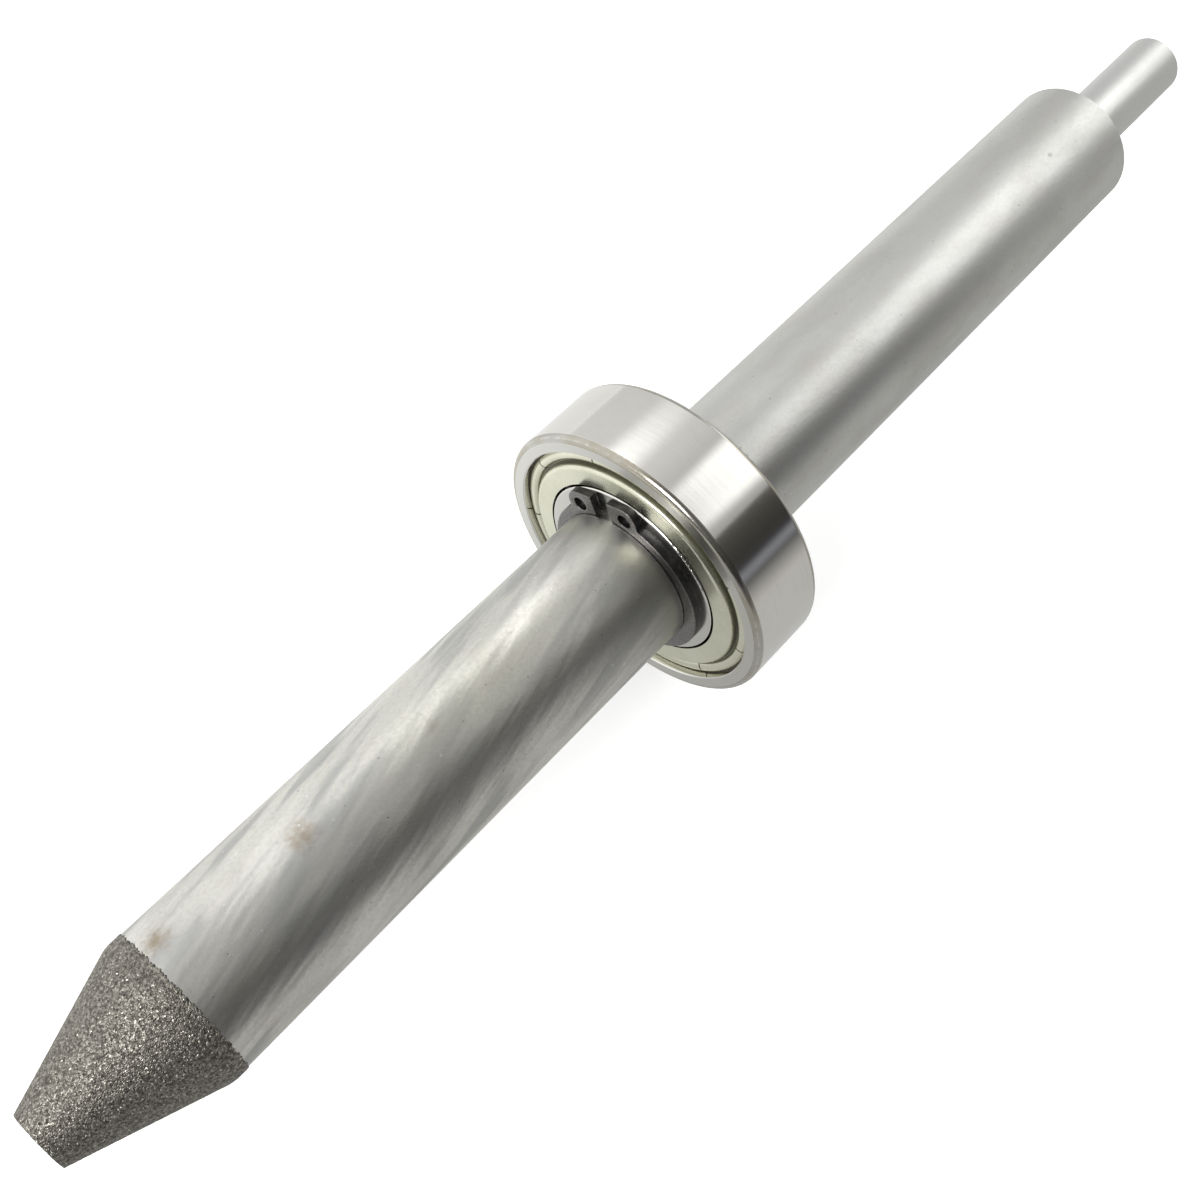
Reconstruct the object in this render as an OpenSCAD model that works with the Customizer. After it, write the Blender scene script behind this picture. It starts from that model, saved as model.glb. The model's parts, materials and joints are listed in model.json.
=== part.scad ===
// Rotating spindle of a live center: a ground steel shaft with a diamond gritted nose, carried in one
// double shielded deep groove ball bearing (20 x 42 x 12 mm) between two external circlips.
// Millimetres. The origin is the middle of the bearing, +X runs along the shaft to the nose, +Z is up.
// Every sub-part is drawn round the Z axis and laid over to X by on_shaft(), so an angle in this file
// starts at +Y and turns towards +Z.

/* [Spindle] */
// Diameter of the ground shaft, which is also the bore of the bearing
shaft_d = 20; // [19:0.1:21]
// Distance from the middle of the bearing to the foot of the nose cone
front_reach = 82.8; // [60:0.1:120]
// Length of the steel nose cone, from its foot to its flat tip
nose_len = 17.4; // [12:0.1:24]
// Diameter of the flat tip of the steel nose cone
tip_d = 7.5; // [5:0.1:11]
// Radius of the soft blend between the shaft and the nose cone
nose_blend_r = 5; // [1:0.5:8]
// Distance from the middle of the bearing to the rear shoulder
rear_reach = 101; // [60:0.5:140]
// Chamfer on the edge of the rear shoulder
shoulder_chamfer = 0.8; // [0.2:0.1:1.5]
// Diameter of the rear spigot
spigot_d = 9.5; // [7:0.1:14]
// Length of the rear spigot
spigot_len = 26.2; // [12:0.1:40]
// Chamfer on the end of the rear spigot
spigot_chamfer = 0.6; // [0.2:0.1:1]
// Fillet where the spigot meets the shoulder
spigot_fillet = 0.4; // [0.2:0.1:1]
// Depth of the two circlip grooves below the shaft surface
groove_depth = 0.5; // [0.3:0.05:0.7]
// Width of the two circlip grooves
groove_w = 1.3; // [1.3:0.05:1.6]

/* [Centre drilling] */
// Diameter of the pilot hole in the spigot end
pilot_d = 2; // [1:0.1:2.5]
// Diameter of the countersink at the spigot end
countersink_d = 4.2; // [3:0.1:5]
// Depth of the pilot hole below the countersink
pilot_depth = 2.4; // [1:0.1:4]

/* [Diamond grit] */
// Height of the plated grit layer above the steel
grit_t = 0.12; // [0.08:0.01:0.3]
// Length of the gritted band on the shaft behind the cone
grit_band = 2; // [1.5:0.1:6]

/* [Bearing] */
// Outside diameter of the bearing
bearing_d = 42; // [41.5:0.1:43]
// Width of the bearing
bearing_w = 12; // [11.8:0.1:13]
// Radius of the rounded outer corners of the outer ring
ring_corner_r = 0.9; // [0.4:0.1:1.1]
// Diameter of one ball
ball_d = 6.35; // [6.2:0.05:6.35]
// Number of balls, which is also the number of pockets and rivets in the cage
ball_count = 9; // [7:1:9]
// Diameter of the circle on which the ball centres lie
pitch_d = 31; // [30.9:0.05:31.1]
// Running gap between a ball and the bottom of each raceway
ball_gap = 0.03; // [0.02:0.01:0.05]

/* [Shields] */
// Thickness of the shield sheet
sheet_t = 0.35; // [0.25:0.05:0.35]
// Number of slits across the crimped rim of a shield
slit_count = 9; // [3:1:12]
// Width of one slit
slit_w = 0.22; // [0.1:0.02:0.4]

/* [Circlips] */
// Thickness of a circlip
circlip_t = 1.2; // [1:0.05:1.25]
// Width of the gap between the two lugs
circlip_gap = 2.8; // [2:0.1:3.6]
// Angle of the front circlip's gap
front_gap_turn = 110.6; // [0:0.2:360]
// Angle of the rear circlip's gap
rear_gap_turn = 60; // [0:1:360]

/* [Hidden] */
BALL_NODES = [for (i = [1 : ball_count]) str("ball_", i)];
$fn = 120;
eps = 0.01;

// Shaft and nose
shaft_r = shaft_d / 2;
groove_r = shaft_r - groove_depth;
tip_r = tip_d / 2;
tip_z = front_reach + nose_len;
cone_angle = atan((shaft_r - tip_r) / nose_len);
blend_centre = [shaft_r - nose_blend_r, front_reach - nose_blend_r * tan(cone_angle / 2)];
grit_start = front_reach - grit_band;
spigot_r = spigot_d / 2;
spigot_end = -rear_reach - spigot_len;
countersink_angle = 60;
countersink_depth = (countersink_d - pilot_d) / 2 / tan(countersink_angle / 2);
arc_steps = 6;

// Rings and balls
half_w = bearing_w / 2;
ring_r = bearing_d / 2;
ball_r = ball_d / 2;
pitch_r = pitch_d / 2;
conformity = 0.52;
raceway_r = conformity * ball_d;
inner_bottom_r = pitch_r - ball_r - ball_gap;
outer_bottom_r = pitch_r + ball_r + ball_gap;
inner_land_gap = 2.2;
outer_land_gap = 1.9;
inner_land_r = pitch_r - inner_land_gap;
outer_land_r = pitch_r + outer_land_gap;
bore_corner_r = 0.6;
land_corner_r = 0.25;
mouth_r = 18.6;
mouth_chamfer = 0.15;
rim_r = 19;
seat_depth = 1.6;
rim_groove_w = 0.42;
first_ball_turn = 90;

// Shields: a flat plate, a bent shoulder and a curled bead crimped into the outer ring
plate_gap = 0.3;
plate_recess = 0.18;
plate_in_r = inner_land_r + plate_gap;
plate_top = half_w - plate_recess;
shoulder_r = 16.45;
shoulder_bend_r = 0.55;
bead_r = 0.88;
bead_mid_r = 17.6;
bead_recess = 1.55;
bead_mid_z = half_w - bead_recess;
rim_lip_t = 0.3;
slit_turn = -6.7;

// Cage: two riveted halves of pressed ribbon
cage_t = 0.6;
cage_in_r = 14.05;
cage_out_r = 16.95;
pocket_gap = 0.12;
pocket_r = ball_r + pocket_gap;
rivet_r = 0.45;
rivet_head_r = 0.95;
rivet_top_r = 0.55;
rivet_head_h = 0.35;

// Circlips
band_width = 1.7;
band_r = shaft_r + band_width;
band_shift = 0.4;
lug_hole_r = 1;
lug_hole_aside = 3.8;
lug_hole_rise = 0.87;
lug_hole_at = [lug_hole_aside, shaft_r + lug_hole_rise];
lug_round_r = 2;
lug_fillet_r = 0.9;
fillet_bite = 0.02;

// Points along an arc, from angle a to angle b
function arc(centre, r, a, b) = [
    for (i = [0 : arc_steps])
        let (t = a + (b - a) * i / arc_steps)
            [centre[0] + r * cos(t), centre[1] + r * sin(t)]
];

function reversed(points) = [for (i = [len(points) - 1 : -1 : 0]) points[i]];

// Outline of the nose at a height above the steel: blend, cone and edge of the tip
function nose_outline(height) = concat(
    arc(blend_centre, nose_blend_r + height, 0, cone_angle),
    [[tip_r + height * tan(45 - cone_angle / 2), tip_z + height]]
);

// Centre of the circle of radius r that touches both circles from outside, to the right of a to b
function touching(a, ra, b, rb, r) =
    let (
        gap = norm(b - a),
        along = (b - a) / gap,
        u = (pow(ra + r, 2) - pow(rb + r, 2) + gap * gap) / (2 * gap),
        v = sqrt(pow(ra + r, 2) - u * u)
    )
        a + u * along + v * [along[1], -along[0]];

module on_shaft() {
    rotate([90, 0, 90]) children();
}

module round_the_pitch(turn) {
    for (i = [0 : ball_count - 1])
        rotate(turn + i * 360 / ball_count)
            translate([pitch_r, 0, 0])
                children();
}

// Section of a ring from r0 to r1, with corners of radius c0 inside and c1 outside
module ring_section(r0, r1, c0, c1) {
    translate([r0 + c0, -half_w]) square([r1 - r0 - c0 - c1, 2 * half_w]);
    translate([r0, c0 - half_w]) square([r1 - r0 - c1, 2 * (half_w - c0)]);
    translate([r0 + c0, c1 - half_w]) square([r1 - r0 - c0, 2 * (half_w - c1)]);
    for (side = [-1, 1]) {
        translate([r0 + c0, side * (half_w - c0)]) circle(c0);
        translate([r1 - c1, side * (half_w - c1)]) circle(c1);
    }
}

module shaft_outline() {
    polygon(concat(
        [
            [0, spigot_end],
            [spigot_r - spigot_chamfer, spigot_end],
            [spigot_r, spigot_end + spigot_chamfer]
        ],
        arc([spigot_r + spigot_fillet, -rear_reach - spigot_fillet], spigot_fillet, 180, 90),
        [
            [shaft_r - shoulder_chamfer, -rear_reach],
            [shaft_r, -rear_reach + shoulder_chamfer],
            [shaft_r, -half_w - groove_w],
            [groove_r, -half_w - groove_w],
            [groove_r, -half_w],
            [shaft_r, -half_w],
            [shaft_r, half_w],
            [groove_r, half_w],
            [groove_r, half_w + groove_w],
            [shaft_r, half_w + groove_w]
        ],
        nose_outline(0),
        [[0, tip_z]]
    ));
}

module spindle() {
    color("#b4b3ae")
        on_shaft()
            difference() {
                rotate_extrude() shaft_outline();
                translate([0, 0, spigot_end - eps])
                    cylinder(h = countersink_depth + pilot_depth, d = pilot_d);
                translate([0, 0, spigot_end])
                    cylinder(h = countersink_depth, d1 = countersink_d, d2 = pilot_d);
            }
}

module grit_coat() {
    color("#807a70")
        on_shaft()
            rotate_extrude()
                polygon(concat(
                    [[shaft_r, grit_start], [shaft_r + grit_t, grit_start]],
                    nose_outline(grit_t),
                    [[0, tip_z + grit_t], [0, tip_z]],
                    reversed(nose_outline(0))
                ));
}

// One lug of a circlip, joined to the band by a concave fillet whose cutter bites a little into both
module lug() {
    band_centre = [0, -band_shift];
    fillet_centre = touching(band_centre, band_r, lug_hole_at, lug_round_r, lug_fillet_r);
    translate(lug_hole_at) circle(lug_round_r);
    translate([0, groove_r]) square([lug_hole_at[0], lug_hole_at[1] + lug_round_r - groove_r]);
    difference() {
        polygon([band_centre, fillet_centre, lug_hole_at]);
        translate(fillet_centre) circle(lug_fillet_r + fillet_bite);
    }
}

module circlip_outline() {
    difference() {
        union() {
            translate([0, -band_shift]) circle(band_r);
            lug();
            mirror([1, 0]) lug();
        }
        circle(groove_r);
        translate([-circlip_gap / 2, 0]) square([circlip_gap, ring_r]);
        for (side = [-1, 1])
            translate([side * lug_hole_at[0], lug_hole_at[1]]) circle(lug_hole_r);
    }
}

module circlip(start_z, gap_turn) {
    color("#3b3a3c")
        on_shaft()
            translate([0, 0, start_z])
                rotate(gap_turn - 90)
                    linear_extrude(circlip_t) circlip_outline();
}

module circlip_front() {
    circlip(half_w, front_gap_turn);
}

module circlip_rear() {
    circlip(-half_w - circlip_t, rear_gap_turn);
}

// The mouth that takes one shield: a wide seat with a broken edge and an undercut for the crimped rim
module shield_seat() {
    seat_z = half_w - seat_depth;
    polygon([
        [0, seat_z],
        [mouth_r, seat_z],
        [mouth_r, half_w - mouth_chamfer],
        [mouth_r + mouth_chamfer, half_w],
        [0, half_w]
    ]);
    translate([0, seat_z]) square([rim_r, rim_groove_w]);
}

module bearing_outer_ring() {
    color("#c3c2c0")
        on_shaft()
            rotate_extrude()
                difference() {
                    ring_section(outer_land_r, ring_r, land_corner_r, ring_corner_r);
                    translate([outer_bottom_r - raceway_r, 0]) circle(raceway_r);
                    shield_seat();
                    mirror([0, 1]) shield_seat();
                }
}

module bearing_inner_ring() {
    color("#bdbcbb")
        on_shaft()
            rotate_extrude()
                difference() {
                    ring_section(shaft_r, inner_land_r, bore_corner_r, land_corner_r);
                    translate([inner_bottom_r + raceway_r, 0]) circle(raceway_r);
                }
}

// Section of the shield: plate, rounded shoulder, wall, floor and curled bead
module shield_section() {
    shoulder_centre = [shoulder_r - shoulder_bend_r, plate_top - shoulder_bend_r];
    translate([plate_in_r, plate_top - sheet_t])
        square([shoulder_centre[0] - plate_in_r, sheet_t]);
    intersection() {
        difference() {
            translate(shoulder_centre) circle(shoulder_bend_r);
            translate(shoulder_centre) circle(shoulder_bend_r - sheet_t);
        }
        translate(shoulder_centre) square(shoulder_bend_r);
    }
    translate([shoulder_r - sheet_t, bead_mid_z])
        square([sheet_t, shoulder_centre[1] - bead_mid_z]);
    translate([shoulder_r - sheet_t, bead_mid_z])
        square([bead_mid_r - bead_r + sheet_t - shoulder_r + sheet_t, sheet_t]);
    intersection() {
        difference() {
            translate([bead_mid_r, bead_mid_z]) circle(bead_r);
            translate([bead_mid_r, bead_mid_z]) circle(bead_r - sheet_t);
        }
        translate([bead_mid_r - bead_r, bead_mid_z]) square([2 * bead_r, bead_r]);
    }
    translate([bead_mid_r + bead_r - sheet_t, bead_mid_z])
        square([rim_r - bead_mid_r - bead_r + sheet_t, rim_lip_t]);
}

module shield() {
    difference() {
        rotate_extrude() shield_section();
        for (i = [0 : slit_count - 1])
            rotate(slit_turn + i * 360 / slit_count)
                translate([bead_mid_r - bead_r + eps, -slit_w / 2, bead_mid_z - eps])
                    cube([rim_r, slit_w, bead_r + 2 * eps]);
    }
}

module shield_front() {
    color("#dad9c5") on_shaft() shield();
}

module shield_rear() {
    color("#dad9c5") on_shaft() mirror([0, 0, 1]) shield();
}

module cage_half() {
    difference() {
        intersection() {
            union() {
                cylinder(h = cage_t, r = cage_out_r);
                round_the_pitch(first_ball_turn) sphere(pocket_r + cage_t);
            }
            difference() {
                cylinder(h = half_w, r = cage_out_r);
                translate([0, 0, -eps]) cylinder(h = half_w + 2 * eps, r = cage_in_r);
            }
        }
        round_the_pitch(first_ball_turn) sphere(pocket_r);
        round_the_pitch(first_ball_turn + 180 / ball_count)
            translate([0, 0, -eps]) cylinder(h = cage_t + 2 * eps, r = rivet_r);
    }
}

module cage_front() {
    color("#a8a294") on_shaft() cage_half();
}

module cage_rear() {
    color("#a8a294") on_shaft() mirror([0, 0, 1]) cage_half();
}

module cage_rivets() {
    half_outline = [
        [rivet_r, 0],
        [rivet_r, cage_t],
        [rivet_head_r, cage_t],
        [rivet_top_r, cage_t + rivet_head_h],
        [0, cage_t + rivet_head_h]
    ];
    color("#8f8a80")
        on_shaft()
            round_the_pitch(first_ball_turn + 180 / ball_count)
                for (side = [0, 1])
                    mirror([0, 0, side])
                        rotate_extrude() polygon(concat([[0, 0]], half_outline));
}

module ball(index) {
    color("#d5d5d7")
        on_shaft()
            rotate(first_ball_turn + (index - 1) * 360 / ball_count)
                translate([pitch_r, 0, 0])
                    sphere(ball_r);
}

spindle();
grit_coat();
circlip_front();
circlip_rear();
bearing_outer_ring();
bearing_inner_ring();
shield_front();
shield_rear();
cage_front();
cage_rear();
cage_rivets();
for (i = [1 : ball_count])
    ball(i);
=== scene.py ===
"""Looks of the live center spindle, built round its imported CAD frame.

Units are metres in the CAD frame: the origin is the middle of the bearing, +X runs to the gritted
nose and +Z is up. MM turns millimetres into metres. An angle round the shaft starts at +Y and turns
towards +Z. Materials work in object space, in millimetres.
"""

import json
import math
import random

import bmesh
import bpy
from mathutils import Matrix, Vector, kdtree


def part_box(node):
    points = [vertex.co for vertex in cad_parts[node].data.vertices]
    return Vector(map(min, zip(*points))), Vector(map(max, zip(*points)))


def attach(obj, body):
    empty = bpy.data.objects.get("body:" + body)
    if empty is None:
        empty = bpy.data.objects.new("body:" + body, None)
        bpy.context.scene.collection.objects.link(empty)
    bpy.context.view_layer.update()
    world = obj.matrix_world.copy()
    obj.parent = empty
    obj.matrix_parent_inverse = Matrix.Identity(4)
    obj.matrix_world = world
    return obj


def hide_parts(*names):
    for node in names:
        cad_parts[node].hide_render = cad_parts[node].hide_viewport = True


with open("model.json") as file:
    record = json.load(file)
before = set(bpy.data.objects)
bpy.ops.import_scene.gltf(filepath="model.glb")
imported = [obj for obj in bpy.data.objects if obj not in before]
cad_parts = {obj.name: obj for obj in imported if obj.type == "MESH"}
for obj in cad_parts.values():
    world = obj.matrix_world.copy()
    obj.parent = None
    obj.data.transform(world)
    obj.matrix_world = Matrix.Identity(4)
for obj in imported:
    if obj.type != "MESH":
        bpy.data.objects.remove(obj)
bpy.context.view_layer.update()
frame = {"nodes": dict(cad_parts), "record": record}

MM = 0.001
NODES = frame["nodes"]
FLOOR_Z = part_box("bearing_outer_ring")[0].z


# ---------------------------------------------------------------- sizes, in mm


def reach(node, side):
    """How far a node reaches along X, in mm: side 0 is its low end and side 1 its high end."""
    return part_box(node)[side].x / MM


def radius_of(node):
    """Outer radius of a node that is round about X, in mm."""
    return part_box(node)[1].z / MM


HALF_W = reach("bearing_outer_ring", 1)
RING_R = radius_of("bearing_outer_ring")
SHAFT_R = radius_of("spindle")
NOSE_TIP = reach("spindle", 1)
SPIGOT_END = reach("spindle", 0)
GRIT_T = reach("grit_coat", 1) - NOSE_TIP

# Sizes that no node's box gives, as drawn in part.scad.
SHOULDER_X = -101.0
SPIGOT_R = 4.75
GROOVE_W = 1.3
RING_CORNER = 0.9
# The radii of the shields' two creases.
TROUGH_R = 16.6
CRIMP_R = 18.3


# ---------------------------------------------------------------- camera, floor and light

# Solved from the outlines of the shaft, the bearing and the spigot.
CAM_AZIMUTH = 131.07
CAM_ELEVATION = 57.60
CAM_DISTANCE = 189.3 * MM
CAM_TARGET = Vector((12.08, 0.18, 0.03)) * MM
CAM_SENSOR = 36.0
CAM_LENS = 44.55


def add_camera():
    data = bpy.data.cameras.new("camera")
    data.sensor_width = CAM_SENSOR
    data.lens = CAM_LENS
    data.clip_start = 1 * MM
    camera = bpy.data.objects.new("camera", data)
    bpy.context.scene.collection.objects.link(camera)
    az, el = math.radians(CAM_AZIMUTH), math.radians(CAM_ELEVATION)
    look = Vector((-math.sin(az) * math.cos(el), math.cos(az) * math.cos(el), -math.sin(el)))
    camera.location = CAM_TARGET - look * CAM_DISTANCE
    camera.rotation_euler = look.to_track_quat("-Z", "Y").to_euler()
    bpy.context.scene.camera = camera


def axis_frame(turn, lean):
    """Three directions for something seen from the bearing at an angle turn round the shaft and an
    angle lean back from the plane of the bearing towards -X: along the shaft, across it, and
    outwards."""
    turn, lean = math.radians(turn), math.radians(lean)
    across = Vector((0, -math.sin(turn), math.cos(turn)))
    level = math.cos(lean)
    out = Vector((-math.sin(lean), level * math.cos(turn), level * math.sin(turn)))
    return across.cross(out), across, out


# Each name, its turn and lean in degrees, its distance and its sides along and across the shaft in
# metres, its radiance, and the outer share of each side over which it fades.
SOFTBOXES = (
    ("softbox_left", 127, 17, 0.60, 0.36, 0.36, 1.3, 0.40),
    ("softbox_right", 68, 46, 0.65, 0.56, 0.46, 1.3, 0.25),
    ("softbox_back", 95, 58, 0.65, 0.36, 0.40, 1.15, 0.40),
    ("softbox_top", 88, -45, 0.67, 0.40, 0.40, 11.5, 0.30),
)


def add_softbox(name, turn, lean, distance, along, across, radiance, soft):
    """A large light facing the bearing, with soft edges."""
    data = bpy.data.lights.new(name, "AREA")
    data.shape = "RECTANGLE"
    data.size = along
    data.size_y = across
    data.energy = radiance * math.pi * along * across
    data.use_nodes = True
    glow = Nodes(data.node_tree)
    u, v, _ = glow.split(glow.add("ShaderNodeNewGeometry").outputs["Parametric"])
    fade = 1.0
    for share in (u, v):
        off_middle = glow.math("ABSOLUTE", glow.math("SUBTRACT", share, 0.5))
        inset = glow.math("SUBTRACT", 0.5, off_middle)
        fade = glow.math("MULTIPLY", fade, glow.remap(inset, 0.0, soft))
    glow.feed(glow.tree.nodes["Emission"].inputs["Strength"], fade)
    light = bpy.data.objects.new(name, data)
    x, y, z = axis_frame(turn, lean)
    facing = Matrix((x, y, z)).transposed().to_4x4()
    light.matrix_world = Matrix.Translation(z * distance) @ facing
    light.visible_camera = False
    bpy.context.scene.collection.objects.link(light)


# The surround by direction: the first three give a value at each of two directions along X, and
# WORLD_SIDES gives the directions along Y where its dim side ends and its bright side begins.
WORLD_BRIGHT = (-0.60, -0.10, 0.70, 1.25)
WORLD_DIM = (-0.45, 0.05, 0.50, 0.17)
WORLD_LAG = (-0.42, 0.0, 0.0, 0.25)
WORLD_SIDES = (0.25, -0.32)
WORLD_SHOWN = 1.0


def add_world():
    """A pale surround, dim on the +Y side, more so and further up towards the nose. Its bright side
    is dimmer towards the spigot. Seen directly, it is one plain pale tone."""
    world = bpy.data.worlds.new("surround")
    bpy.context.scene.world = world
    world.use_nodes = True
    sky = Nodes(world.node_tree)
    x, y, _ = sky.split(sky.add("ShaderNodeTexCoord").outputs["Generated"])
    bright = sky.remap(x, *WORLD_BRIGHT)
    dim = sky.remap(x, *WORLD_DIM)
    side = sky.remap(sky.math("ADD", y, sky.remap(x, *WORLD_LAG)), *WORLD_SIDES)
    lit = sky.math("MULTIPLY_ADD", side, sky.math("SUBTRACT", bright, dim), dim)
    back = sky.tree.nodes["Background"]
    back.inputs["Color"].default_value = (1, 1, 1, 1)
    seen = sky.add("ShaderNodeLightPath").outputs["Is Camera Ray"]
    shown = sky.math("MULTIPLY", seen, WORLD_SHOWN)
    unseen = sky.math("MULTIPLY", sky.math("SUBTRACT", 1.0, seen), lit)
    sky.feed(back.inputs["Strength"], sky.math("ADD", shown, unseen))


def link_mesh(name, mesh, material):
    mesh.materials.append(material)
    piece = bpy.data.objects.new(name, mesh)
    bpy.context.scene.collection.objects.link(piece)
    return piece


FLOOR_GLOW = 0.60
FLOOR_REACH = 2.5
FLOOR_GAP = 0.02 * MM


def add_floor():
    """A wide pale sheet under the bearing, bright enough to read as white, with a soft shadow."""
    tone = Finish("pale_floor", roughness=0.9, metallic=0.0, colour=(0.85, 0.85, 0.85))
    tone.shader.inputs["Specular IOR Level"].default_value = 0.1
    tone.shader.inputs["Emission Color"].default_value = (1, 1, 1, 1)
    tone.shader.inputs["Emission Strength"].default_value = FLOOR_GLOW
    bm = bmesh.new()
    bmesh.ops.create_grid(bm, x_segments=8, y_segments=8, size=FLOOR_REACH)
    mesh = bpy.data.meshes.new("floor")
    bm.to_mesh(mesh)
    bm.free()
    floor = link_mesh("floor", mesh, tone.material)
    floor.location.z = FLOOR_Z - FLOOR_GAP


FLAG_Y = 0.12
FLAG_FOOT_Y = -1.2
FLAG_TOP = 0.114
FLAG_ENDS = (-0.45, 0.35)
FLAG_GAP = 0.05 * MM
# Tones by the distance out along the floor from the shaft's axis, then up the card.
FLAG_TONES = (
    (-0.020, (0.94, 0.94, 0.93)),
    (0.000, (0.66, 0.66, 0.66)),
    (0.025, (0.56, 0.56, 0.55)),
    (0.080, (0.58, 0.575, 0.565)),
    (0.118, (0.58, 0.57, 0.55)),
    (0.130, (0.47, 0.46, 0.45)),
    (0.142, (0.31, 0.305, 0.30)),
    (0.155, (0.11, 0.11, 0.115)),
    (0.167, (0.29, 0.30, 0.335)),
    (0.179, (0.045, 0.045, 0.05)),
    (0.194, (0.045, 0.042, 0.038)),
    (0.215, (0.060, 0.057, 0.052)),
    (0.235, (0.080, 0.077, 0.070)),
    (0.255, (0.12, 0.118, 0.11)),
)
# How much sooner they start, from one X to another.
FLAG_SHIFT = (-0.03, 0.06, 0.0, 0.025)
# The card turns to one tone between two X, and between two distances out.
FLAG_FAR_X = (-0.09, -0.26)
FLAG_FAR_OUT = (0.0, 0.02)
FLAG_FAR_TONE = (0.62, 0.62, 0.61)
# On the -Y side of the nose it is brighter by a share.
FLAG_NOSE_X = (-0.03, 0.02)
FLAG_NOSE_OUT = (0.02, -0.02)
FLAG_NOSE_SHARE = 0.22


def add_flag():
    """A card on the floor that bends up beside the shaft and is seen only in reflections. Its tones
    draw the dark line along the shaft and the ring."""
    low = FLOOR_Z + FLAG_GAP
    mesh = bpy.data.meshes.new("flag")
    bend = ((FLAG_FOOT_Y, low), (FLAG_Y, low), (FLAG_Y, FLAG_TOP))
    corners = [(x, y, z) for y, z in bend for x in FLAG_ENDS]
    mesh.from_pydata(corners, [], [(0, 1, 3, 2), (2, 3, 5, 4)])
    material = bpy.data.materials.new("flag_card")
    material.use_nodes = True
    material.node_tree.nodes.clear()
    card = Nodes(material.node_tree)
    x, y, z = card.split(card.add("ShaderNodeTexCoord").outputs["Object"])
    out = card.math("ADD", y, card.math("SUBTRACT", z, low))
    out = card.math("ADD", out, card.remap(x, *FLAG_SHIFT))
    start, end = FLAG_TONES[0][0], FLAG_TONES[-1][0]
    tones = card.add("ShaderNodeValToRGB")
    card.feed(tones.inputs["Fac"], card.remap(out, start, end, smooth=False))
    stops = tones.color_ramp.elements
    stops.remove(stops[1])
    for index, (at, tone) in enumerate(FLAG_TONES):
        share = (at - start) / (end - start)
        stop = stops[0] if index == 0 else stops.new(share)
        stop.position = share
        stop.color = (*tone, 1)
    glow = card.add("ShaderNodeEmission")
    far = card.math("MULTIPLY", card.remap(x, *FLAG_FAR_X), card.remap(out, *FLAG_FAR_OUT))
    card.feed(glow.inputs["Color"], card.mix(far, tones.outputs["Color"], FLAG_FAR_TONE))
    nose = card.math("MULTIPLY", card.remap(x, *FLAG_NOSE_X), card.remap(out, *FLAG_NOSE_OUT))
    card.feed(glow.inputs["Strength"], card.math("MULTIPLY_ADD", nose, FLAG_NOSE_SHARE, 1.0))
    card.feed(card.add("ShaderNodeOutputMaterial").inputs["Surface"], glow.outputs[0])
    flag = link_mesh("flag", mesh, material)
    for sight in ("camera", "diffuse", "shadow", "transmission"):
        setattr(flag, "visible_" + sight, False)


# ---------------------------------------------------------------- building procedural materials


class Nodes:
    """Adds nodes to one node tree. A value is a plain number or colour or another node's output."""

    def __init__(self, tree):
        self.tree = tree

    def add(self, kind):
        return self.tree.nodes.new(kind)

    def feed(self, socket, value):
        if isinstance(value, bpy.types.NodeSocket):
            self.tree.links.new(value, socket)
        elif socket.type == "RGBA" and len(value) == 3:
            socket.default_value = (*value, 1)
        else:
            socket.default_value = value

    def vector(self, operation, a, b):
        node = self.add("ShaderNodeVectorMath")
        node.operation = operation
        self.feed(node.inputs[0], a)
        self.feed(node.inputs[1], b)
        return node.outputs["Value" if operation in ("LENGTH", "DISTANCE") else "Vector"]

    def math(self, operation, a, b=0.0, c=0.0):
        node = self.add("ShaderNodeMath")
        node.operation = operation
        for socket, value in zip(node.inputs, (a, b, c)):
            self.feed(socket, value)
        return node.outputs[0]

    def split(self, value):
        node = self.add("ShaderNodeSeparateXYZ")
        self.feed(node.inputs[0], value)
        return node.outputs

    def join(self, x, y, z):
        node = self.add("ShaderNodeCombineXYZ")
        for socket, value in zip(node.inputs, (x, y, z)):
            self.feed(socket, value)
        return node.outputs[0]

    def remap(self, value, low, high, out_low=0.0, out_high=1.0, smooth=True):
        node = self.add("ShaderNodeMapRange")
        node.interpolation_type = "SMOOTHSTEP" if smooth else "LINEAR"
        for socket, number in zip(node.inputs, (value, low, high, out_low, out_high)):
            self.feed(socket, number)
        return node.outputs["Result"]

    def mix(self, share, a, b):
        node = self.add("ShaderNodeMix")
        node.data_type = "RGBA"
        self.feed(node.inputs[0], share)
        self.feed(node.inputs[6], a)
        self.feed(node.inputs[7], b)
        return node.outputs[2]


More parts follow.
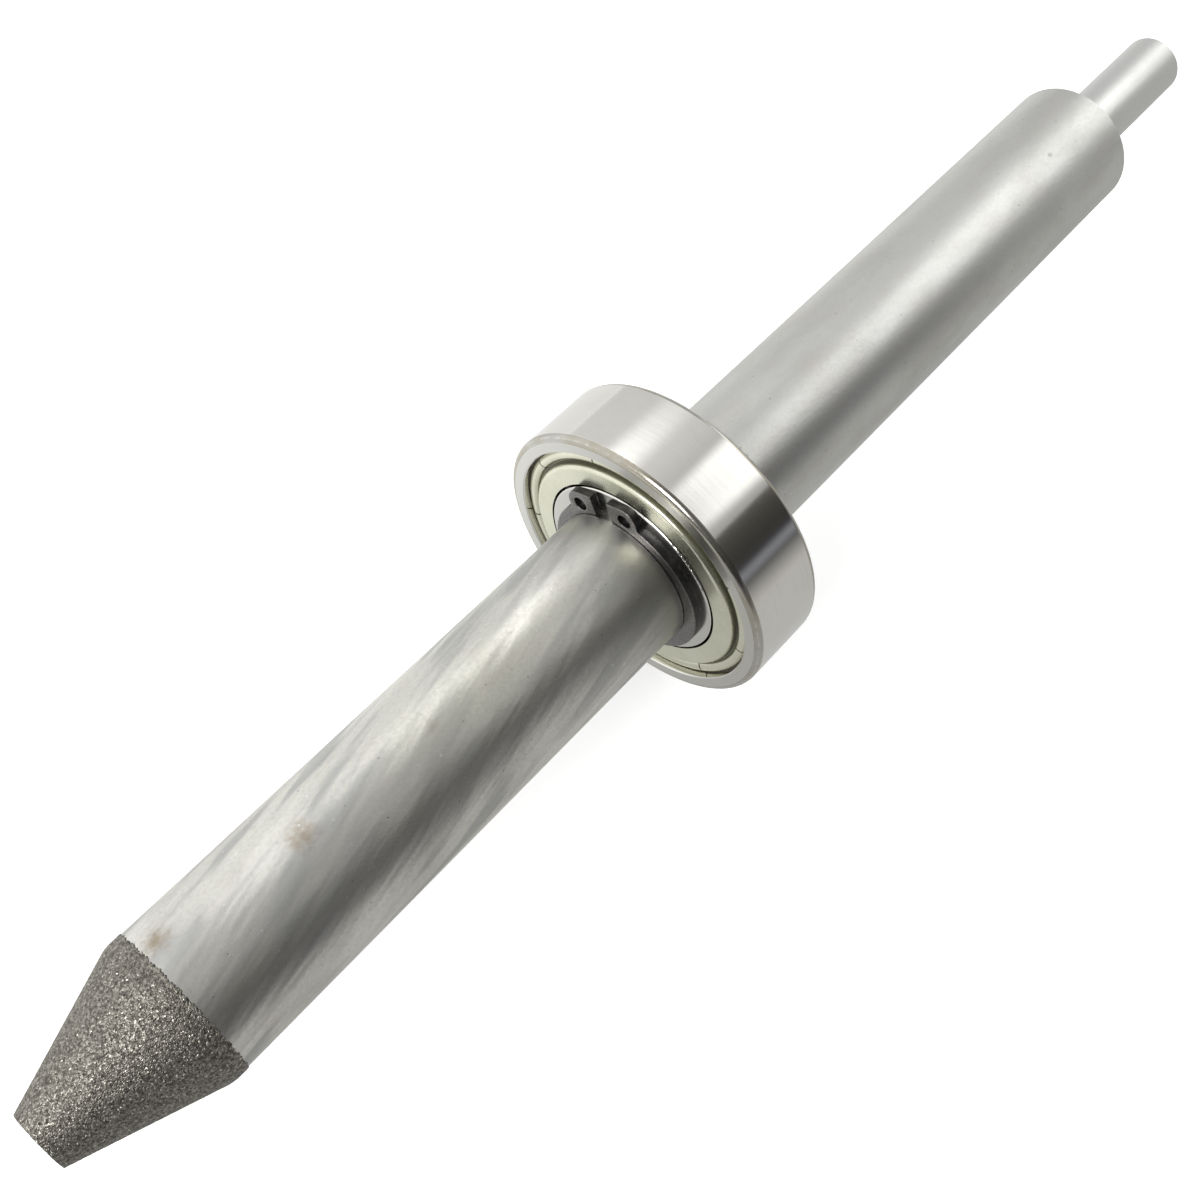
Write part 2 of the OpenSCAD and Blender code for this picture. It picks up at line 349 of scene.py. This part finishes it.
class Finish(Nodes):
    """One procedural material: a Principled shader and the nodes that feed it. Lengths are in
    mm."""

    def __init__(self, name, roughness, metallic, colour):
        self.material = bpy.data.materials.new(name)
        self.material.use_nodes = True
        super().__init__(self.material.node_tree)
        self.shader = self.tree.nodes["Principled BSDF"]
        self.shader.inputs["Roughness"].default_value = roughness
        self.shader.inputs["Metallic"].default_value = metallic
        self.shader.inputs["Base Color"].default_value = (*colour, 1)
        coordinates = self.add("ShaderNodeTexCoord")
        self.place = self.vector("MULTIPLY", coordinates.outputs["Object"], (1 / MM,) * 3)
        self.x, self.y, self.z = self.split(self.place)

    def radius(self):
        """Distance from the shaft's axis."""
        return self.vector("LENGTH", self.join(0.0, self.y, self.z), (0, 0, 0))

    def twisted(self, per_mm):
        """The place turned about the axis by per_mm radians for each millimetre along X."""
        node = self.add("ShaderNodeVectorRotate")
        node.rotation_type = "X_AXIS"
        self.feed(node.inputs["Vector"], self.place)
        self.feed(node.inputs["Angle"], self.math("MULTIPLY", self.x, per_mm))
        return node.outputs[0]

    def scaled(self, place, scale):
        """The place times scale, which is one number or one each for X, Y and Z."""
        return self.vector("MULTIPLY", place, scale if isinstance(scale, tuple) else (scale,) * 3)

    def noise(self, place, scale, detail=2.0, rough=0.5):
        """Smooth noise from 0 to 1, with scale features per mm."""
        node = self.add("ShaderNodeTexNoise")
        self.feed(node.inputs["Vector"], self.scaled(place, scale))
        node.inputs["Scale"].default_value = 1.0
        node.inputs["Detail"].default_value = detail
        node.inputs["Roughness"].default_value = rough
        return node.outputs["Fac"]

    def cells(self, place, scale):
        """Distance to the nearest of scattered points, scale of them per mm, for small marks."""
        node = self.add("ShaderNodeTexVoronoi")
        self.feed(node.inputs["Vector"], self.scaled(place, scale))
        node.inputs["Scale"].default_value = 1.0
        return node.outputs["Distance"]

    def attribute(self, name):
        node = self.add("ShaderNodeAttribute")
        node.attribute_name = name
        return node.outputs["Fac"]

    def near(self, x, angle, radius, half_x, half_arc, ragged=0.5):
        """1 at a point on a round surface, falling raggedly to 0 about half_x along and half_arc
        round from it."""
        turn = math.radians(angle)
        centre = (x, radius * math.cos(turn), radius * math.sin(turn))
        offset = self.vector("SUBTRACT", self.place, centre)
        size = (1 / half_x, 1 / half_arc, 1 / half_arc)
        far = self.vector("LENGTH", self.vector("MULTIPLY", offset, size), (0, 0, 0))
        grain = self.noise(self.place, 2.5 / half_x, 4.0, 0.65)
        far = self.math("MULTIPLY_ADD", grain, ragged, far)
        return self.remap(far, 1.0 + ragged / 2, ragged / 2 - 0.1)

    def rim(self, along, at, radius, width):
        """1 on a circle about the shaft's axis, falling to 0 at width from it. The circle is where
        along, which is X or a value made from it, is at."""
        far = self.vector("DISTANCE", self.join(along, self.radius(), 0.0), (at, radius, 0.0))
        return self.remap(far, width, 0.0)

    def tint(self, colour, mask, share, tone):
        """The colour with a tone laid over it, by share where mask is 1."""
        return self.mix(self.math("MULTIPLY", mask, share), colour, tone)

    def bump(self, height, depth, under=None):
        """Relief depth millimetres high where height is 1, over an earlier relief."""
        node = self.add("ShaderNodeBump")
        node.inputs["Strength"].default_value = 1.0
        node.inputs["Distance"].default_value = depth * MM
        self.feed(node.inputs["Height"], height)
        if under is not None:
            self.feed(node.inputs["Normal"], under)
        return node.outputs["Normal"]

    def finish(self, colour, roughness, normal):
        for name, value in (("Base Color", colour), ("Roughness", roughness), ("Normal", normal)):
            self.feed(self.shader.inputs[name], value)
        return self.material


# ---------------------------------------------------------------- materials


# Each stain's place along X and angle round the shaft, its half width, and its share.
STAINS = ((79.0, 108.0, 2.3, 0.8), (61.0, 91.0, 2.7, 0.7), (42.0, 84.0, 1.4, 0.25))
# Each worn edge's place along X, its radius, and its width.
WORN_EDGES = (
    (SHOULDER_X, SHAFT_R, 1.2),
    (SPIGOT_END, SPIGOT_R, 0.5),
    (-HALF_W - GROOVE_W, SHAFT_R, 0.5),
    (HALF_W + GROOVE_W, SHAFT_R, 0.5),
)


def spindle_steel():
    """Satin ground steel. The nose half has soft helical streaks, stains and a yellowish patch."""
    f = Finish("spindle_steel", 0.4, 1.0, (0.6, 0.6, 0.58))
    front = f.remap(f.x, 2.0, 10.0)
    colour = f.mix(front, (0.595, 0.598, 0.572), (0.648, 0.638, 0.590))

    cloud = f.noise(f.place, (0.06, 0.16, 0.16), 4.0, 0.6)
    colour = f.mix(f.remap(cloud, 0.38, 0.66, 0.0, 0.5), colour, (0.47, 0.47, 0.445))
    pink = f.noise(f.place, (0.12, 0.3, 0.3), 3.0, 0.6)
    colour = f.mix(f.remap(pink, 0.50, 0.70, 0.0, 0.4), colour, (0.60, 0.555, 0.53))

    streak = f.noise(f.twisted(math.radians(1.5)), (0.042, 0.22, 0.22), 2.5, 0.55)
    dark = f.math("MULTIPLY", f.remap(streak, 0.50, 0.62), front)
    colour = f.tint(colour, dark, 0.65, (0.36, 0.365, 0.365))
    light = f.math("MULTIPLY", f.remap(streak, 0.48, 0.34), front)
    colour = f.tint(colour, light, 0.6, (0.76, 0.75, 0.70))
    wisp = f.noise(f.twisted(math.radians(1.2)), (0.05, 0.6, 0.6), 1.0, 0.5)
    wisp = f.math("MULTIPLY", f.remap(wisp, 0.58, 0.72), front)
    colour = f.tint(colour, wisp, 0.35, (0.36, 0.365, 0.365))

    patch = f.near(34.0, 78.0, SHAFT_R, 30.0, 8.0)
    colour = f.tint(colour, patch, 0.55, (0.56, 0.55, 0.45))
    # Painted shade: the nose half is darkened towards the bearing, standing in for the bearing and
    # circlip darkening its reflections.
    painted_bearing_shade = f.math("MULTIPLY", f.remap(f.x, 26.0, 6.0, 0.0, 0.6), front)
    colour = f.mix(painted_bearing_shade, colour, (0.28, 0.28, 0.27))
    for x, angle, half, share in STAINS:
        stain = f.near(x, angle, SHAFT_R, half, half, 1.6)
        colour = f.tint(colour, stain, share, (0.27, 0.205, 0.13))

    speck = f.remap(f.cells(f.place, 0.8), 0.15, 0.06)
    speck = f.math("MULTIPLY", speck, f.remap(f.noise(f.place, 0.7, 1.0), 0.54, 0.62))
    colour = f.tint(colour, speck, 0.5, (0.2, 0.19, 0.18))
    tick = f.math("MULTIPLY", f.remap(f.cells(f.place, 0.45), 0.10, 0.04), front)
    colour = f.tint(colour, tick, 0.4, (0.85, 0.85, 0.83))
    nick = f.near(-86.0, 72.0, SHAFT_R, 0.55, 0.45, 0.3)
    colour = f.tint(colour, nick, 0.3, (0.30, 0.30, 0.30))

    wear = 0.0
    for x, radius, width in WORN_EDGES:
        wear = f.math("MAXIMUM", wear, f.rim(f.x, x, radius, width))
    wear = f.math("MULTIPLY", wear, f.remap(f.noise(f.place, 1.2, 3.0, 0.6), 0.35, 0.6))
    colour = f.tint(colour, wear, 0.5, (0.80, 0.79, 0.77))

    lines = f.noise(f.place, (9.0, 0.25, 0.25), 3.0, 0.7)
    grain = f.noise(f.place, (1.8, 2.2, 2.2), 6.0, 0.75)
    freckled = f.remap(front, 0.0, 1.0, 0.12, 0.26)
    colour = f.tint(colour, f.remap(grain, 0.42, 0.66), freckled, (0.36, 0.355, 0.34))
    spigot = f.remap(f.x, SHOULDER_X + 0.2, SHOULDER_X - 0.2)
    colour = f.tint(colour, spigot, 0.8, (0.63, 0.63, 0.615))

    rough = f.remap(cloud, 0.3, 0.7, 0.35, 0.42, False)
    rough = f.math("ADD", rough, f.math("MULTIPLY", dark, 0.06))
    rough = f.math("SUBTRACT", rough, f.math("MULTIPLY", light, 0.05))
    rough = f.math("ADD", rough, f.remap(grain, 0.3, 0.7, -0.04, 0.04, False))
    rough = f.math("SUBTRACT", rough, f.math("MULTIPLY", wear, 0.08))
    relief = f.bump(f.math("MULTIPLY", streak, f.remap(f.x, 10.0, 28.0)), 0.4)
    relief = f.bump(lines, 0.004, under=relief)
    relief = f.bump(grain, 0.02, under=relief)
    pits = f.math("ADD", f.math("MULTIPLY", nick, -1.0), f.math("MULTIPLY", speck, -0.15))
    relief = f.bump(pits, 0.08, under=relief)
    return f.finish(colour, rough, relief)


def ring_steel():
    """Bearing steel. Round surfaces are ground nearly to a mirror and flat faces are duller. The
    outer rounded corners are duller and painted darker as a dark reflection, with a line along
    their middle painted bright: wear and a painted highlight."""
    f = Finish("ring_steel", 0.12, 1.0, (0.74, 0.73, 0.71))
    radius = f.radius()
    lathe = f.join(f.x, radius, f.math("MULTIPLY", f.y, 0.02))
    lines = f.noise(lathe, 14.0, 3.0, 0.7)
    broad = f.noise(lathe, 1.1, 2.0, 0.5)
    cloud = f.noise(f.place, 0.12, 3.0, 0.6)
    clouded = f.remap(cloud, 0.35, 0.7, 0.0, 0.5)
    colour = f.mix(clouded, (0.755, 0.745, 0.705), (0.700, 0.690, 0.645))
    colour = f.mix(f.remap(lines, 0.50, 0.8, 0.0, 0.45), colour, (0.52, 0.51, 0.50))
    depth = f.math("ABSOLUTE", f.x)
    face = f.remap(depth, HALF_W - 0.08, HALF_W - 0.03)
    colour = f.mix(face, colour, (0.60, 0.595, 0.562))
    # Painted reflection: the outer rounded corners are painted a darker brownish tone for the dark
    # surround they reflect, and are rougher.
    reached = f.math("SUBTRACT", f.math("ADD", depth, radius), HALF_W + RING_R - RING_CORNER)
    corner = f.remap(reached, 0.01, 0.06)
    corner_dark_reflection = f.mix(f.remap(cloud, 0.35, 0.65), (0.48, 0.475, 0.44), (0.40, 0.375, 0.31))
    colour = f.mix(corner, colour, corner_dark_reflection)
    # A line along the middle of the corners painted lighter: wear, and a painted highlight.
    wear = f.rim(depth, HALF_W - 0.26, RING_R - 0.26, 0.22)
    wear = f.math("MULTIPLY", wear, f.remap(f.noise(f.place, 0.7, 4.0, 0.7), 0.42, 0.62))
    colour = f.tint(colour, wear, 0.35, (0.86, 0.845, 0.82))
    rough = f.remap(cloud, 0.3, 0.7, 0.09, 0.13, False)
    rough = f.math("ADD", rough, f.remap(lines, 0.4, 0.8, 0.0, 0.05, False))
    rough = f.math("ADD", rough, f.math("MULTIPLY", f.math("MAXIMUM", corner, face), 0.08))
    return f.finish(colour, rough, f.bump(lines, 0.0012, under=f.bump(broad, 0.004)))


def shield_steel():
    """Thin sheet with a pale yellowish passivated finish, with painted shade in its creases."""
    f = Finish("shield_steel", 0.28, 1.0, (0.70, 0.69, 0.61))
    cloud = f.noise(f.place, 0.16, 3.0, 0.6)
    grain = f.noise(f.place, 5.0, 3.0, 0.6)
    colour = f.mix(f.remap(cloud, 0.35, 0.65), (0.725, 0.720, 0.595), (0.670, 0.672, 0.535))
    colour = f.mix(f.remap(grain, 0.45, 0.75, 0.0, 0.12), colour, (0.50, 0.49, 0.42))
    speck = f.remap(f.cells(f.place, 0.7), 0.12, 0.05)
    colour = f.tint(colour, speck, 0.3, (0.40, 0.37, 0.30))
    radius = f.radius()
    # Painted shade: the sunk trough and the crimp by the ring are painted near black, and are
    # rougher.
    sunk = f.remap(f.math("ABSOLUTE", f.x), HALF_W - 0.25, HALF_W - 0.55)
    off_trough = f.math("ABSOLUTE", f.math("SUBTRACT", radius, TROUGH_R))
    crimp = f.remap(radius, CRIMP_R, CRIMP_R + 0.15)
    crease_shade = f.math("MAXIMUM", f.remap(off_trough, 0.26, 0.10), crimp)
    crease_shade = f.math("MULTIPLY", crease_shade, sunk)
    colour = f.tint(colour, crease_shade, 0.85, (0.05, 0.045, 0.03))
    rough = f.remap(cloud, 0.3, 0.7, 0.22, 0.29, False)
    rough = f.math("ADD", rough, f.remap(grain, 0.3, 0.7, -0.03, 0.03, False))
    rough = f.math("ADD", rough, f.math("MULTIPLY", crease_shade, 0.3))
    return f.finish(colour, rough, f.bump(grain, 0.001))


def circlip_black():
    """Spring steel with a thin black oxide coat, rubbed through to brown and grey at its edges."""
    f = Finish("circlip_black", 0.42, 1.0, (0.1, 0.1, 0.1))
    cloud = f.noise(f.place, 0.5, 4.0, 0.6)
    grain = f.noise(f.place, 5.0, 3.0, 0.65)
    colour = f.mix(f.remap(cloud, 0.35, 0.65), (0.045, 0.044, 0.047), (0.085, 0.082, 0.082))
    rub = f.math("MULTIPLY", f.attribute("edge"), f.remap(grain, 0.35, 0.6, 0.25, 1.0))
    colour = f.tint(colour, rub, 0.7, (0.32, 0.305, 0.29))
    rough = f.remap(grain, 0.3, 0.7, 0.36, 0.48, False)
    rough = f.math("SUBTRACT", rough, f.math("MULTIPLY", rub, 0.12))
    return f.finish(colour, rough, f.bump(grain, 0.008))


def cage_steel():
    """Pressed ribbon of thin mild steel with a dull tumbled surface."""
    f = Finish("cage_steel", 0.4, 1.0, (0.5, 0.48, 0.45))
    cloud = f.noise(f.place, 0.6, 3.0, 0.6)
    grain = f.noise(f.place, 6.0, 3.0, 0.6)
    colour = f.mix(f.remap(cloud, 0.35, 0.65), (0.52, 0.50, 0.46), (0.42, 0.40, 0.37))
    rough = f.remap(grain, 0.3, 0.7, 0.34, 0.48, False)
    return f.finish(colour, rough, f.bump(grain, 0.008))


def ball_steel():
    """Lapped bearing balls: a mirror with a few hair lines and a film of grease."""
    f = Finish("ball_steel", 0.06, 1.0, (0.7, 0.7, 0.7))
    film = f.noise(f.place, 0.8, 3.0, 0.6)
    hair = f.noise(f.place, (3.0, 14.0, 3.0), 2.0, 0.6)
    colour = f.mix(f.remap(film, 0.4, 0.7), (0.72, 0.72, 0.73), (0.62, 0.60, 0.54))
    rough = f.remap(film, 0.4, 0.7, 0.04, 0.12)
    rough = f.math("ADD", rough, f.remap(hair, 0.6, 0.8, 0.0, 0.04))
    return f.finish(colour, rough, f.bump(hair, 0.0006))


def diamond_grit():
    """Diamond grains half buried in nickel: hollows darkened as painted shade and grey-brown
    grains, a few of which are smoother and painted lighter as glints."""
    f = Finish("diamond_grit", 0.45, 0.9, (0.2, 0.19, 0.17))
    tone = f.attribute("tone")
    toned = f.remap(tone, 0.0, 1.0, smooth=False)
    colour = f.mix(toned, (0.105, 0.098, 0.084), (0.425, 0.402, 0.351))
    # Painted shade: the low hollows between the grains are painted near black.
    colour = f.mix(f.remap(f.attribute("height"), 0.55, 0.2), colour, (0.05, 0.047, 0.041))
    # Painted highlight: a few grains at random are painted lighter as glints, and are also
    # smoother.
    painted_glint = f.remap(tone, 0.92, 0.97)
    colour = f.tint(colour, painted_glint, 0.5, (0.66, 0.63, 0.56))
    fine = f.noise(f.place, 9.0, 3.0, 0.65)
    colour = f.mix(f.remap(fine, 0.42, 0.60, 0.0, 0.75), colour, (0.075, 0.069, 0.060))
    rough = f.remap(fine, 0.3, 0.7, 0.36, 0.55, False)
    rough = f.math("SUBTRACT", rough, f.math("MULTIPLY", painted_glint, 0.1))
    return f.finish(colour, rough, f.bump(fine, 0.01))


MATERIALS = {
    "spindle_steel": spindle_steel,
    "ring_steel": ring_steel,
    "shield_steel": shield_steel,
    "circlip_black": circlip_black,
    "cage_steel": cage_steel,
    "ball_steel": ball_steel,
    "diamond_grit": diamond_grit,
}
SLOT_OF = {part["node"]: part["material_slot"] for part in frame["record"]["subparts"]}


# ---------------------------------------------------------------- the grit coat

SEED = 7
GRIT_STEP = 0.104
GRAIN = 0.22
MOST_GRAINS = 60000
GRAIN_SCATTER = 0.45
# A level is the height of the surface as a share of the coat's thickness.
GRAIN_LEVELS = (0.50, 0.98)
LEVEL_SKEW = 0.7
LEVEL_LIMITS = (0.05, 0.99)
GRAIN_TILT = 0.22
TILT_SHOWN = 1.2
VALLEY_LEVEL = 0.45
VALLEY_WIDTH = 0.05
# The foot of the coat: the level of its first ring, how many rings wander along X and by how much,
# and the waves they follow, each as a number round the shaft and a phase.
FOOT_LEVEL = 0.02
FOOT_RINGS = 3
FOOT_RAGGED = 0.22
FOOT_WAVES = ((23, 0.0), (61, 1.7), (137, 0.4))
# The inner skin: how far it lies below the coat, the step along it and the points round it.
COAT_DEPTH = 0.05
INNER_STEP = 2.0
INNER_COUNT = 96


def bends_in(a, b, c):
    """True if b isn't outside the straight line from a to c. All are (x, radius) points."""
    return (b[0] - a[0]) * (c[1] - a[1]) >= (b[1] - a[1]) * (c[0] - a[0])


def profile_of(node, step):
    """(x, radius) points about step apart along the outside of a coat that is round about X, in mm,
    from its low end to the axis at its tip."""
    rings = {}
    for v in NODES[node].data.vertices:
        x = round(v.co.x / MM, 3)
        rings[x] = max(rings.get(x, 0.0), math.hypot(v.co.y, v.co.z) / MM)
    hull = []
    for corner in sorted(rings.items()):
        while len(hull) > 1 and bends_in(hull[-2], hull[-1], corner):
            hull.pop()
        hull.append(corner)
    hull.append((hull[-1][0], 0.0))
    points = [hull[0]]
    for (xa, ra), (xb, rb) in zip(hull, hull[1:]):
        count = max(1, round(math.hypot(xb - xa, rb - ra) / step))
        for i in range(1, count + 1):
            points.append((xa + (xb - xa) * i / count, ra + (rb - ra) * i / count))
    return points


def stitch(lower, upper):
    """Triangles between two rings of vertex numbers that may differ in count. The upper ring may be
    one vertex, at the tip."""
    faces, i, j = [], 0, 0
    n, m = len(lower), len(upper)
    while i < n or j < m:
        if j >= m or (i < n and (i + 1) / n <= (j + 1) / m):
            faces.append((lower[i % n], lower[(i + 1) % n], upper[j % m]))
            i += 1
        else:
            if m > 1:
                faces.append((lower[i % n], upper[(j + 1) % m], upper[j % m]))
            j += 1
    return faces


def turned_about_x(x, radius, turn):
    """The point at x, at radius from the shaft's axis and turn round it."""
    return Vector((x, radius * math.cos(turn), radius * math.sin(turn)))


def scatter_grains():
    """A tree of grain middles in mm, and a tone and a tilt for each."""
    draw = random.Random(SEED)
    grains = kdtree.KDTree(MOST_GRAINS)
    tones, tilts = [], []
    outline = profile_of("grit_coat", GRAIN)
    for (xa, ra), (xb, rb) in zip(outline, outline[1:]):
        around = max(1, round(math.pi * (ra + rb) / GRAIN))
        for k in range(around):
            share = draw.random()
            shifted = k + draw.uniform(-GRAIN_SCATTER, GRAIN_SCATTER)
            turn = 2 * math.pi * shifted / around
            middle = turned_about_x(xa + (xb - xa) * share, ra + (rb - ra) * share, turn)
            grains.insert(middle, len(tones))
            tones.append(draw.random())
            tilts.append(Vector([draw.gauss(0, 1) for _ in range(3)]) * GRAIN_TILT)
    grains.balance()
    return grains, tones, tilts


def make_grit():
    """The coat as one closed shell: a fine outer skin shaped into separate grains over a plain
    inner skin."""
    grains, tones, tilts = scatter_grains()
    outline = profile_of("grit_coat", GRIT_STEP)
    low, high = GRAIN_LEVELS
    verts, heights, rings = [], [], []
    for index, (x, r) in enumerate(outline):
        ahead = outline[min(index + 1, len(outline) - 1)]
        behind = outline[max(index - 1, 0)]
        along = Vector((ahead[0] - behind[0], ahead[1] - behind[1])).normalized()
        count = max(1, round(2 * math.pi * r / GRIT_STEP))
        ring = []
        for k in range(count):
            turn = 2 * math.pi * (k + 0.5 * (index % 2)) / count
            out = turned_about_x(-along.y, along.x, turn)
            place = turned_about_x(x, r, turn)
            (near, first, d1), (_, _, d2) = grains.find_n(place, 2)
            level = low + (high - low) * tones[first] ** LEVEL_SKEW
            level += (place - near).dot(tilts[first]) / GRAIN * TILT_SHOWN
            level *= min(1.0, VALLEY_LEVEL + (d2 - d1) / VALLEY_WIDTH)
            level = min(LEVEL_LIMITS[1], max(LEVEL_LIMITS[0], level))
            if index == 0:
                level = FOOT_LEVEL
            place -= out * GRIT_T * (1.0 - level)
            if index < FOOT_RINGS:
                wander = sum(math.sin(turn * waves + phase) for waves, phase in FOOT_WAVES)
                wander = FOOT_RAGGED * wander / len(FOOT_WAVES)
                place.x += wander * (FOOT_RINGS - index) / FOOT_RINGS
            ring.append(len(verts))
            verts.append(place * MM)
            heights.append(level)
        rings.append(ring)
    faces = [face for lower, upper in zip(rings, rings[1:]) for face in stitch(lower, upper)]
    outer_faces = len(faces)

    inner = []
    for x, r in profile_of("grit_coat", INNER_STEP):
        x_in = min(x, NOSE_TIP - COAT_DEPTH)
        r_in = max(0.0, r - (GRIT_T + COAT_DEPTH))
        count = INNER_COUNT if r_in > 0 else 1
        inner.append(range(len(verts), len(verts) + count))
        for k in range(count):
            verts.append(turned_about_x(x_in, r_in, 2 * math.pi * k / INNER_COUNT) * MM)
            heights.append(0.0)
    for lower, upper in [*zip(inner, inner[1:]), (rings[0], inner[0])]:
        faces += [face[::-1] for face in stitch(lower, upper)]

    mesh = bpy.data.meshes.new("grit_coat_grains")
    mesh.from_pydata(verts, [], faces)
    mesh.update()
    values = [0.0] * len(faces)
    for polygon in mesh.polygons[:outer_faces]:
        values[polygon.index] = tones[grains.find(polygon.center / MM)[1]]
    mesh.attributes.new("tone", "FLOAT", "FACE").data.foreach_set("value", values)
    mesh.attributes.new("height", "FLOAT", "POINT").data.foreach_set("value", heights)
    return mesh


# ---------------------------------------------------------------- circlips with rolled edges

CIRCLIP_ROUND = 0.13
CIRCLIP_BEVEL_STEPS = 3
SHARP_ANGLE = math.radians(40)
SAME_PLACE = 1e-7


def outline_loops(node):
    """The closed loops of (y, z) points, in metres, round the flat face of a node that is a plate
    across X."""
    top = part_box(node)[1].x
    bm = bmesh.new()
    bm.from_mesh(NODES[node].data)
    bmesh.ops.remove_doubles(bm, verts=bm.verts, dist=SAME_PLACE)
    onward = {}
    for face in bm.faces:
        on_top = all(abs(v.co.x - top) < SAME_PLACE for v in face.verts)
        if not on_top or face.normal.x <= 0.99:
            continue
        for loop in face.loops:
            other = [g for g in loop.edge.link_faces if g is not face]
            if other and abs(other[0].normal.x) < 0.5:
                onward[loop.vert.index] = (loop.link_loop_next.vert.index, loop.vert.co.copy())
    bm.free()
    loops = []
    while onward:
        start = at = next(iter(onward))
        loop = []
        while at in onward:
            following, co = onward.pop(at)
            loop.append((co.y, co.z))
            at = following
        if at == start:
            loops.append(loop)
    return loops


def make_circlip(node, name):
    """A copy of a circlip's plate whose punched edges are rounded. A flat curve takes care of the
    holes."""
    low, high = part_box(node)
    middle, half = (low.x + high.x) / 2, (high.x - low.x) / 2
    rounding = CIRCLIP_ROUND * MM
    curve = bpy.data.curves.new(name, "CURVE")
    curve.dimensions = "2D"
    curve.fill_mode = "BOTH"
    curve.extrude = half - rounding
    curve.bevel_depth = rounding
    curve.bevel_resolution = CIRCLIP_BEVEL_STEPS
    curve.offset = -rounding
    for loop in outline_loops(node):
        spline = curve.splines.new("POLY")
        spline.points.add(len(loop) - 1)
        for point, (y, z) in zip(spline.points, loop):
            point.co = (y, z, 0, 1)
        spline.use_cyclic_u = True
    flat = bpy.data.objects.new(name + "_flat", curve)
    bpy.context.scene.collection.objects.link(flat)
    bpy.context.view_layer.update()
    solid = flat.evaluated_get(bpy.context.evaluated_depsgraph_get())
    mesh = bpy.data.meshes.new_from_object(solid)
    bpy.data.objects.remove(flat)
    bpy.data.curves.remove(curve)

    # The curve lies in its own XY plane, which stands up here as the plane across the shaft.
    stand = Matrix(((0, 0, 1), (1, 0, 0), (0, 1, 0))).to_4x4()
    mesh.transform(Matrix.Translation((middle, 0, 0)) @ stand)
    bm = bmesh.new()
    bm.from_mesh(mesh)
    bmesh.ops.remove_doubles(bm, verts=bm.verts, dist=SAME_PLACE)
    bmesh.ops.recalc_face_normals(bm, faces=bm.faces)
    bm.to_mesh(mesh)
    bm.free()
    mesh.name = name
    mesh.shade_smooth()
    mesh.set_sharp_from_angle(angle=SHARP_ANGLE)
    values = [float(half - abs(v.co.x - middle) < rounding * 0.99) for v in mesh.vertices]
    mesh.attributes.new("edge", "FLOAT", "POINT").data.foreach_set("value", values)
    return mesh


# ---------------------------------------------------------------- putting it together

bpy.context.scene.view_settings.view_transform = "Standard"
add_camera()
add_world()
for softbox in SOFTBOXES:
    add_softbox(*softbox)
add_floor()
add_flag()

finishes = {slot: make() for slot, make in MATERIALS.items()}
for name, node in NODES.items():
    node.data.materials.clear()
    node.data.materials.append(finishes[SLOT_OF[name]])

grit = link_mesh("grit_coat_grains", make_grit(), finishes["diamond_grit"])
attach(grit, "spindle")
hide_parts("grit_coat")

for end in ("front", "rear"):
    node = "circlip_" + end
    name = node + "_rounded"
    clip = link_mesh(name, make_circlip(node, name), finishes["circlip_black"])
    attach(clip, "spindle")
    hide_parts(node)
